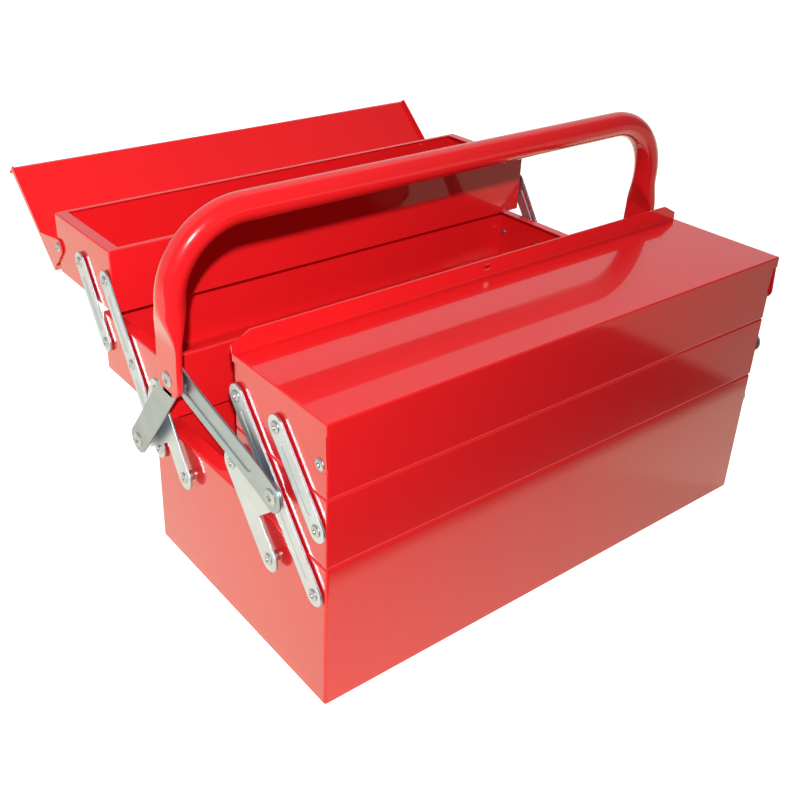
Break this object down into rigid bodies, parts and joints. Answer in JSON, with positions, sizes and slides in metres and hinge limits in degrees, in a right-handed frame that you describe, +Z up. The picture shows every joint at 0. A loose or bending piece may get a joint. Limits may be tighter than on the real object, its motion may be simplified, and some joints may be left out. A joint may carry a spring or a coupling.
{
  "type": "cantilever tool box",
  "caption": "Steel cantilever tool box: a deep base with stacked trays that swing out to both sides on riveted links, hinged lids and a tubular carrying handle on arms.",
  "frame": {"origin": "middle of the flat underside of the base", "axes": "+X along the length of the box and its handle, +Y towards the side whose trays are open at rest, +Z up"},
  "size_m": [0.4562, 0.4477, 0.2834],
  "materials": {
    "tray_paint": "glossy",
    "lid_paint": "glossy",
    "handle_paint": "glossy",
    "link_zinc": "bright zinc plate",
    "rivet_zinc": "bright zinc plate"
  },
  "bodies": {
    "base": {"base_tray": "tray_paint", "base_rivets_left": "rivet_zinc", "base_rivets_right": "rivet_zinc"},
    "front_long_links": {"long_link_front_left": "link_zinc", "long_link_front_right": "link_zinc"},
    "front_mid_tray": {"mid_tray_front": "tray_paint", "mid_rivets_front_left": "rivet_zinc", "mid_rivets_front_right": "rivet_zinc"},
    "front_top_tray": {"top_tray_front": "tray_paint", "top_rivets_front_left": "rivet_zinc", "top_rivets_front_right": "rivet_zinc", "lid_rivets_front": "rivet_zinc"},
    "front_lid": {"lid_front": "lid_paint"},
    "front_short_links": {"short_link_front_left": "link_zinc", "short_link_front_right": "link_zinc"},
    "front_cranks": {"crank_front_left": "link_zinc", "crank_front_right": "link_zinc"},
    "front_arm_rivets": {"arm_rivet_front_left": "rivet_zinc", "arm_rivet_front_right": "rivet_zinc"},
    "front_arms": {"handle_arm_front_left": "link_zinc", "handle_arm_front_right": "link_zinc", "handle_rivet_tail_left": "rivet_zinc", "handle_rivet_tail_right": "rivet_zinc"},
    "rear_long_links": {"long_link_rear_left": "link_zinc", "long_link_rear_right": "link_zinc"},
    "rear_mid_tray": {"mid_tray_rear": "tray_paint", "mid_rivets_rear_left": "rivet_zinc", "mid_rivets_rear_right": "rivet_zinc"},
    "rear_top_tray": {"top_tray_rear": "tray_paint", "top_rivets_rear_left": "rivet_zinc", "top_rivets_rear_right": "rivet_zinc", "lid_rivets_rear": "rivet_zinc"},
    "rear_lid": {"lid_rear": "lid_paint"},
    "rear_short_links": {"short_link_rear_left": "link_zinc", "short_link_rear_right": "link_zinc"},
    "rear_cranks": {"crank_rear_left": "link_zinc", "crank_rear_right": "link_zinc"},
    "rear_arm_rivets": {"arm_rivet_rear_left": "rivet_zinc", "arm_rivet_rear_right": "rivet_zinc"},
    "rear_arms": {"handle_arm_rear_left": "link_zinc", "handle_arm_rear_right": "link_zinc"},
    "handle_rivets": {"handle_rivet_left": "rivet_zinc", "handle_rivet_right": "rivet_zinc"},
    "handle": {"handle": "handle_paint"}
  },
  "joints": [
    {"name": "front_fold", "type": "hinge", "parent": "base", "child": "front_long_links", "pos_m": [0, -0.095, 0.0827], "axis": [1, 0, 0], "range_deg": [0, 73.6]},
    {"name": "front_mid_level", "type": "hinge", "parent": "front_long_links", "child": "front_mid_tray", "pos_m": [0, -0.055, 0.1302], "axis": [1, 0, 0], "range_deg": [-73.62, 0]},
    {"name": "front_top_level", "type": "hinge", "parent": "front_long_links", "child": "front_top_tray", "pos_m": [0, -0.015, 0.1777], "axis": [1, 0, 0], "range_deg": [-73.62, 0]},
    {"name": "front_short_link_turn", "type": "hinge", "parent": "front_mid_tray", "child": "front_short_links", "pos_m": [0, -0.0975, 0.1302], "axis": [1, 0, 0], "range_deg": [0, 73.62]},
    {"name": "front_crank_turn", "type": "hinge", "parent": "base", "child": "front_cranks", "pos_m": [0, -0.0525, 0.0827], "axis": [1, 0, 0], "range_deg": [0, 73.62]},
    {"name": "front_arm_rivet_turn", "type": "hinge", "parent": "front_cranks", "child": "front_arm_rivets", "pos_m": [0, -0.06028, 0.1337], "axis": [1, 0, 0], "range_deg": [-86.83, 0]},
    {"name": "front_arm_turn", "type": "hinge", "parent": "front_arm_rivets", "child": "front_arms", "pos_m": [0, -0.06028, 0.1337], "axis": [1, 0, 0], "range_deg": [0, 34.13]},
    {"name": "front_lid_hinge", "type": "hinge", "parent": "front_top_tray", "child": "front_lid", "pos_m": [0, -0.0994, 0.1751], "axis": [1, 0, 0], "range_deg": [0, 138]},
    {"name": "rear_fold", "type": "hinge", "parent": "base", "child": "rear_long_links", "pos_m": [0, 0.095, 0.0827], "axis": [1, 0, 0], "range_deg": [0, 73.6]},
    {"name": "rear_mid_level", "type": "hinge", "parent": "rear_long_links", "child": "rear_mid_tray", "pos_m": [0, 0.12928, 0.13448], "axis": [1, 0, 0], "range_deg": [-73.62, 0]},
    {"name": "rear_top_level", "type": "hinge", "parent": "rear_long_links", "child": "rear_top_tray", "pos_m": [0, 0.16355, 0.18627], "axis": [1, 0, 0], "range_deg": [-73.62, 0]},
    {"name": "rear_short_link_turn", "type": "hinge", "parent": "rear_mid_tray", "child": "rear_short_links", "pos_m": [0, 0.17178, 0.13448], "axis": [1, 0, 0], "range_deg": [0, 73.62]},
    {"name": "rear_crank_turn", "type": "hinge", "parent": "base", "child": "rear_cranks", "pos_m": [0, 0.0525, 0.0827], "axis": [1, 0, 0], "range_deg": [0, 73.62]},
    {"name": "rear_arm_rivet_turn", "type": "hinge", "parent": "rear_cranks", "child": "rear_arm_rivets", "pos_m": [0, 0.10362, 0.08964], "axis": [1, 0, 0], "range_deg": [-77.64, 0]},
    {"name": "rear_arm_turn", "type": "hinge", "parent": "rear_arm_rivets", "child": "rear_arms", "pos_m": [0, 0.10362, 0.08964], "axis": [1, 0, 0], "range_deg": [0, 43.33]},
    {"name": "rear_lid_hinge", "type": "hinge", "parent": "rear_top_tray", "child": "rear_lid", "pos_m": [0, 0.24795, 0.18367], "axis": [1, 0, 0], "range_deg": [0, 138]},
    {"name": "handle_rivet_turn", "type": "hinge", "parent": "rear_arms", "child": "handle_rivets", "pos_m": [0, 0.0375, 0.17056], "axis": [1, 0, 0], "range_deg": [-43.33, 0]},
    {"name": "handle_swing", "type": "hinge", "parent": "handle_rivets", "child": "handle", "pos_m": [0, 0.0375, 0.17056], "axis": [1, 0, 0], "range_deg": [-50, 50]}
  ],
  "couplings": [
    {"joint": "front_mid_level", "follows": "front_fold", "ratio": -1},
    {"joint": "front_top_level", "follows": "front_fold", "ratio": -1},
    {"joint": "front_short_link_turn", "follows": "front_fold", "ratio": 1},
    {"joint": "front_crank_turn", "follows": "front_fold", "ratio": 1},
    {"joint": "front_arm_rivet_turn", "follows": "front_fold", "ratio": -1.1796},
    {"joint": "front_arm_turn", "follows": "rear_fold", "ratio": 0.46354},
    {"joint": "rear_mid_level", "follows": "rear_fold", "ratio": -1},
    {"joint": "rear_top_level", "follows": "rear_fold", "ratio": -1},
    {"joint": "rear_short_link_turn", "follows": "rear_fold", "ratio": 1},
    {"joint": "rear_crank_turn", "follows": "rear_fold", "ratio": 1},
    {"joint": "rear_arm_rivet_turn", "follows": "rear_fold", "ratio": -1.0546},
    {"joint": "rear_arm_turn", "follows": "front_fold", "ratio": 0.58848},
    {"joint": "handle_rivet_turn", "follows": "front_fold", "ratio": -0.58848}
  ]
}
